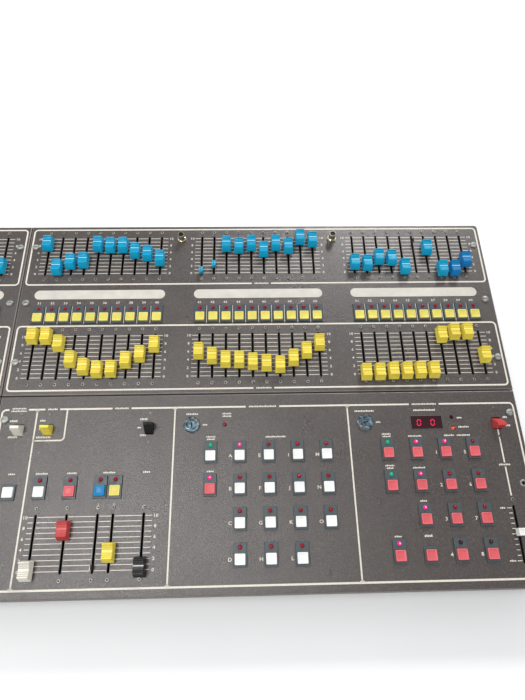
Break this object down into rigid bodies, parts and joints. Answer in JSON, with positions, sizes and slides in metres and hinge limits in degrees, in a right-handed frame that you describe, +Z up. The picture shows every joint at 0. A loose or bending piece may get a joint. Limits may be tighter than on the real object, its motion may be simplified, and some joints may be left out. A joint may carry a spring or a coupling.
{
  "type": "lighting control desk",
  "caption": "Sloping two-preset lighting desk with coloured fader banks, flash buttons, masters, memory and chaser buttons, key switches and a small digit display.",
  "frame": {"origin": "middle of the desk's footprint, at the bottom of its feet", "axes": "+X to the operator's right, along the desk's length; +Y away from the operator; +Z up"},
  "size_m": [1.3616, 0.5062, 0.1474],
  "materials": {
    "panel_paint": "fine textured satin",
    "case_paint": "satin",
    "plated_steel": "zinc plated",
    "screw_steel": "plated",
    "fader_metal": "plated",
    "bezel_plastic": "fine matt",
    "strip_film": "matt",
    "led_lens": "clear tinted",
    "smoked_window": "polished",
    "digit_block": "matt",
    "lock_chrome": "polished",
    "key_chrome": "polished",
    "switch_black": "matt",
    "socket_brass": "nickelled, worn",
    "board_green": "satin",
    "supply_steel": "plated",
    "connector_black": "satin",
    "rubber": "matt",
    "cap_blue": "satin",
    "cap_yellow": "satin",
    "cap_cream": "satin",
    "cap_red": "satin",
    "cap_black": "satin",
    "cap_white": "satin",
    "button_yellow": "satin",
    "button_red": "satin",
    "button_blue": "satin",
    "button_white": "satin"
  },
  "bodies": {
    "desk": {"base_tray": "case_paint", "left_end_panel": "case_paint", "right_end_panel": "case_paint", "rear_panel": "case_paint", "centre_bulkhead": "plated_steel", "panel_brackets": "plated_steel", "support_rails": "plated_steel", "left_preset_panel": "panel_paint", "right_preset_panel": "panel_paint", "playback_panel": "panel_paint", "control_panel": "panel_paint", "panel_screws": "screw_steel", "control_screws": "screw_steel", "fader_bodies": "fader_metal", "button_housings": "bezel_plastic", "write_on_strips": "strip_film", "leds": "led_lens", "display_window": "smoked_window", "display_digits": "digit_block", "key_lock_bodies": "lock_chrome", "paddle_switch_bodies": "switch_black", "lamp_sockets": "socket_brass", "circuit_boards": "board_green", "processor_board": "board_green", "power_supply": "supply_steel", "output_connectors": "connector_black", "mains_inlet": "connector_black", "rubber_feet": "rubber"},
    "left_preset_one_faders": {"left_preset_one_faders": "cap_blue"},
    "left_preset_two_faders": {"left_preset_two_faders": "cap_yellow"},
    "preset_one_low_faders": {"preset_one_low_faders": "cap_blue"},
    "preset_one_high_faders": {"preset_one_high_faders": "cap_blue"},
    "preset_two_low_faders": {"preset_two_low_faders": "cap_yellow"},
    "preset_two_high_faders": {"preset_two_high_faders": "cap_yellow"},
    "channel_31_preset_one_fader": {"channel_31_preset_one_fader": "cap_blue"},
    "channel_31_preset_two_fader": {"channel_31_preset_two_fader": "cap_yellow"},
    "playback_faders": {"playback_faders": "cap_cream"},
    "memory_master_fader": {"memory_master_fader": "cap_cream"},
    "chase_master_fader": {"chase_master_fader": "cap_red"},
    "preset_one_master_fader": {"preset_one_master_fader": "fader_metal"},
    "preset_two_master_fader": {"preset_two_master_fader": "cap_yellow"},
    "grand_master_fader": {"grand_master_fader": "cap_black"},
    "chase_speed_fader": {"chase_speed_fader": "cap_white"},
    "flash_buttons": {"flash_buttons": "button_yellow"},
    "channel_31_flash_button": {"channel_31_flash_button": "button_yellow"},
    "memory_buttons": {"memory_buttons": "button_white"},
    "chase_buttons": {"chase_buttons": "button_red"},
    "hold_button": {"hold_button": "button_red"},
    "step_button": {"step_button": "button_red"},
    "clear_button": {"clear_button": "button_white"},
    "memory_master_button": {"memory_master_button": "button_white"},
    "chase_master_button": {"chase_master_button": "button_red"},
    "preset_one_button": {"preset_one_button": "button_blue"},
    "preset_two_button": {"preset_two_button": "button_yellow"},
    "playback_mode_paddle": {"playback_mode_paddle": "cap_cream"},
    "flash_mode_paddle": {"flash_mode_paddle": "cap_yellow"},
    "blackout_paddle": {"blackout_paddle": "cap_black"},
    "speed_range_paddle": {"speed_range_paddle": "cap_red"},
    "memory_key_plug": {"memory_key_plug": "key_chrome"},
    "chase_key_plug": {"chase_key_plug": "key_chrome"}
  },
  "joints": [
    {"name": "left_preset_one_slide", "type": "slide", "parent": "desk", "child": "left_preset_one_faders", "axis": [0, 0.9903, 0.1392], "range_m": [-0.0102, 0.0498]},
    {"name": "left_preset_two_slide", "type": "slide", "parent": "desk", "child": "left_preset_two_faders", "axis": [0, 0.9903, 0.1392], "range_m": [0, 0.06]},
    {"name": "preset_one_low_slide", "type": "slide", "parent": "desk", "child": "preset_one_low_faders", "axis": [0, 0.9903, 0.1392], "range_m": [-0.0006, 0.039]},
    {"name": "preset_one_high_slide", "type": "slide", "parent": "desk", "child": "preset_one_high_faders", "axis": [0, 0.9903, 0.1392], "range_m": [-0.0294, 0.0036]},
    {"name": "preset_two_low_slide", "type": "slide", "parent": "desk", "child": "preset_two_low_faders", "axis": [0, 0.9903, 0.1392], "range_m": [-0.0006, 0.0366]},
    {"name": "preset_two_high_slide", "type": "slide", "parent": "desk", "child": "preset_two_high_faders", "axis": [0, 0.9903, 0.1392], "range_m": [-0.0264, 0.0012]},
    {"name": "channel_31_preset_one_slide", "type": "slide", "parent": "desk", "child": "channel_31_preset_one_fader", "axis": [0, 0.9903, 0.1392], "range_m": [-0.0474, 0.0126]},
    {"name": "channel_31_preset_two_slide", "type": "slide", "parent": "desk", "child": "channel_31_preset_two_fader", "axis": [0, 0.9903, 0.1392], "range_m": [-0.0582, 0.0018]},
    {"name": "playback_slide", "type": "slide", "parent": "desk", "child": "playback_faders", "axis": [0, 0.9903, 0.1392], "range_m": [0, 0.06]},
    {"name": "memory_master_slide", "type": "slide", "parent": "desk", "child": "memory_master_fader", "axis": [0, 0.9903, 0.1392], "range_m": [-0.0012, 0.0588]},
    {"name": "chase_master_slide", "type": "slide", "parent": "desk", "child": "chase_master_fader", "axis": [0, 0.9903, 0.1392], "range_m": [-0.0444, 0.0156]},
    {"name": "preset_one_master_slide", "type": "slide", "parent": "desk", "child": "preset_one_master_fader", "axis": [0, 0.9903, 0.1392], "range_m": [-0.0036, 0.0564]},
    {"name": "preset_two_master_slide", "type": "slide", "parent": "desk", "child": "preset_two_master_fader", "axis": [0, 0.9903, 0.1392], "range_m": [-0.0192, 0.0408]},
    {"name": "grand_master_slide", "type": "slide", "parent": "desk", "child": "grand_master_fader", "axis": [0, 0.9903, 0.1392], "range_m": [-0.003, 0.057]},
    {"name": "chase_speed_slide", "type": "slide", "parent": "desk", "child": "chase_speed_fader", "axis": [0, 0.9903, 0.1392], "range_m": [-0.0318, 0.0282]},
    {"name": "flash_press", "type": "slide", "parent": "desk", "child": "flash_buttons", "axis": [0, -0.1392, 0.9903], "range_m": [-0.0018, 0], "stiffness_N_per_m": 22200, "springref_m": 0.001},
    {"name": "channel_31_flash_press", "type": "slide", "parent": "desk", "child": "channel_31_flash_button", "axis": [0, -0.1392, 0.9903], "range_m": [-0.0018, 0], "stiffness_N_per_m": 300, "springref_m": 0.001},
    {"name": "memory_press", "type": "slide", "parent": "desk", "child": "memory_buttons", "axis": [0, -0.1392, 0.9903], "range_m": [-0.0018, 0], "stiffness_N_per_m": 4800, "springref_m": 0.001},
    {"name": "chase_press", "type": "slide", "parent": "desk", "child": "chase_buttons", "axis": [0, -0.1392, 0.9903], "range_m": [-0.0018, 0], "stiffness_N_per_m": 4200, "springref_m": 0.001},
    {"name": "hold_press", "type": "slide", "parent": "desk", "child": "hold_button", "axis": [0, -0.1392, 0.9903], "range_m": [-0.0018, 0], "stiffness_N_per_m": 300, "springref_m": 0.001},
    {"name": "step_press", "type": "slide", "parent": "desk", "child": "step_button", "axis": [0, -0.1392, 0.9903], "range_m": [-0.0018, 0], "stiffness_N_per_m": 300, "springref_m": 0.001},
    {"name": "clear_press", "type": "slide", "parent": "desk", "child": "clear_button", "axis": [0, -0.1392, 0.9903], "range_m": [-0.0018, 0], "stiffness_N_per_m": 300, "springref_m": 0.001},
    {"name": "memory_master_press", "type": "slide", "parent": "desk", "child": "memory_master_button", "axis": [0, -0.1392, 0.9903], "range_m": [-0.0018, 0], "stiffness_N_per_m": 300, "springref_m": 0.001},
    {"name": "chase_master_press", "type": "slide", "parent": "desk", "child": "chase_master_button", "axis": [0, -0.1392, 0.9903], "range_m": [-0.0018, 0], "stiffness_N_per_m": 300, "springref_m": 0.001},
    {"name": "preset_one_press", "type": "slide", "parent": "desk", "child": "preset_one_button", "axis": [0, -0.1392, 0.9903], "range_m": [-0.0018, 0], "stiffness_N_per_m": 300, "springref_m": 0.001},
    {"name": "preset_two_press", "type": "slide", "parent": "desk", "child": "preset_two_button", "axis": [0, -0.1392, 0.9903], "range_m": [-0.0018, 0], "stiffness_N_per_m": 300, "springref_m": 0.001},
    {"name": "playback_mode_paddle_tilt", "type": "hinge", "parent": "desk", "child": "playback_mode_paddle", "pos_m": [0.0305, -0.05807, 0.08791], "axis": [1, 0, 0], "range_deg": [-10.5, 17.5]},
    {"name": "flash_mode_paddle_tilt", "type": "hinge", "parent": "desk", "child": "flash_mode_paddle", "pos_m": [0.0673, -0.05807, 0.08791], "axis": [1, 0, 0], "range_deg": [-10, 18]},
    {"name": "blackout_paddle_tilt", "type": "hinge", "parent": "desk", "child": "blackout_paddle", "pos_m": [0.1961, -0.05807, 0.08791], "axis": [1, 0, 0], "range_deg": [-3, 25]},
    {"name": "speed_range_paddle_tilt", "type": "hinge", "parent": "desk", "child": "speed_range_paddle", "pos_m": [0.6485, -0.05807, 0.08791], "axis": [1, 0, 0], "range_deg": [-28, 0]},
    {"name": "memory_key_turn", "type": "hinge", "parent": "desk", "child": "memory_key_plug", "pos_m": [0.2502, -0.05499, 0.09188], "axis": [0, -0.1392, 0.9903], "range_deg": [-80, 0]},
    {"name": "chase_key_turn", "type": "hinge", "parent": "desk", "child": "chase_key_plug", "pos_m": [0.4755, -0.05499, 0.09188], "axis": [0, -0.1392, 0.9903], "range_deg": [0, 80]}
  ]
}
